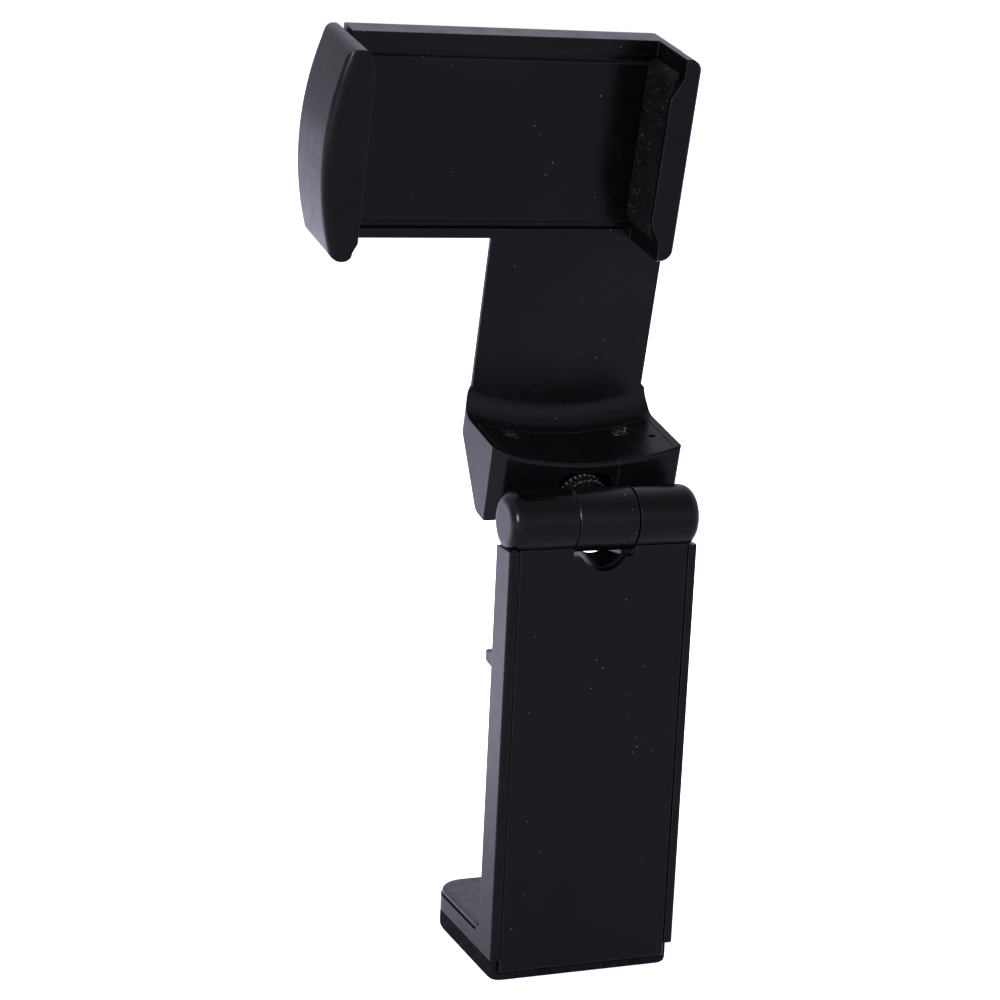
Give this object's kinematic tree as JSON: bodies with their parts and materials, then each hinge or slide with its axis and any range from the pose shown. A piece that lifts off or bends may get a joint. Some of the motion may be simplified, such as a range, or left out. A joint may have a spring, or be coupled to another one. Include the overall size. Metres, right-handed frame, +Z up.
{
  "type": "folding clamp phone holder",
  "caption": "Folding travel phone holder: a table clamp with a rubber-soled foot, a barrel hinge, a swivelling arm and a sprung cradle that grips a phone by its edges.",
  "frame": {"origin": "centre of the sole's underside, on the table it stands on", "axes": "+X along the hinge barrel, +Y to the back where the foot and the upper jaw point, +Z up"},
  "size_m": [0.0935, 0.0507, 0.2161],
  "materials": {
    "body_plastic": "fine matte",
    "cover_plastic": "fine matte",
    "knuckle_plastic": "satin",
    "arm_plastic": "fine matte",
    "cradle_plastic": "fine matte",
    "sole_rubber": "dull",
    "foot_rubber": "smooth satin",
    "pad_rubber": "dull, speckled",
    "dark_metal": "black oxide",
    "steel": "plain"
  },
  "bodies": {
    "clamp": {"clamp_body": "body_plastic", "front_cover": "cover_plastic", "cover_screws": "dark_metal", "foot_sole": "sole_rubber", "foot_grip_pad": "foot_rubber", "hinge_pin": "steel", "hinge_washers": "steel"},
    "clamp_jaw": {"jaw_carriage": "body_plastic", "upper_jaw": "body_plastic", "upper_jaw_pad": "pad_rubber", "upper_jaw_screws": "dark_metal", "brake_spring": "steel"},
    "hinge_block": {"centre_knuckle": "knuckle_plastic", "hinge_bush": "steel", "detent_crown": "dark_metal", "base_swivel_washer": "steel", "base_swivel_screw": "dark_metal"},
    "arm": {"arm_shell": "arm_plastic", "arm_insert": "arm_plastic", "arm_screws": "dark_metal", "neck_bush": "arm_plastic"},
    "cradle": {"cradle_tray": "cradle_plastic", "cradle_plate": "cradle_plastic", "cradle_screws": "dark_metal", "right_jaw_pad": "pad_rubber", "swivel_disc": "pad_rubber", "cradle_swivel_washer": "steel", "cradle_swivel_screw": "dark_metal", "jaw_springs": "steel"},
    "slide_jaw": {"sliding_jaw": "cradle_plastic", "left_jaw_pad": "pad_rubber"}
  },
  "joints": [
    {"name": "hinge_tilt", "type": "hinge", "parent": "clamp", "child": "hinge_block", "pos_m": [0, -0.015, 0.108], "axis": [1, 0, 0], "range_deg": [-12.5, 167.5]},
    {"name": "base_swivel", "type": "hinge", "parent": "hinge_block", "child": "arm", "pos_m": [0, -0.00532, 0.11056], "axis": [0, 0.9763, 0.2164], "range_deg": [-90, 90]},
    {"name": "cradle_swivel", "type": "hinge", "parent": "arm", "child": "cradle", "pos_m": [0, -0.00333, 0.19396], "axis": [0, 0.9763, 0.2164], "range_deg": [-90, 90]},
    {"name": "jaw_slide", "type": "slide", "parent": "cradle", "child": "slide_jaw", "axis": [-1, 0, 0], "range_m": [0, 0.024], "stiffness_N_per_m": 150, "springref_m": -0.03, "deforming": ["jaw_springs"]},
    {"name": "clamp_slide", "type": "slide", "parent": "clamp", "child": "clamp_jaw", "axis": [0, 0, 1], "range_m": [-0.044, 0.01]}
  ]
}
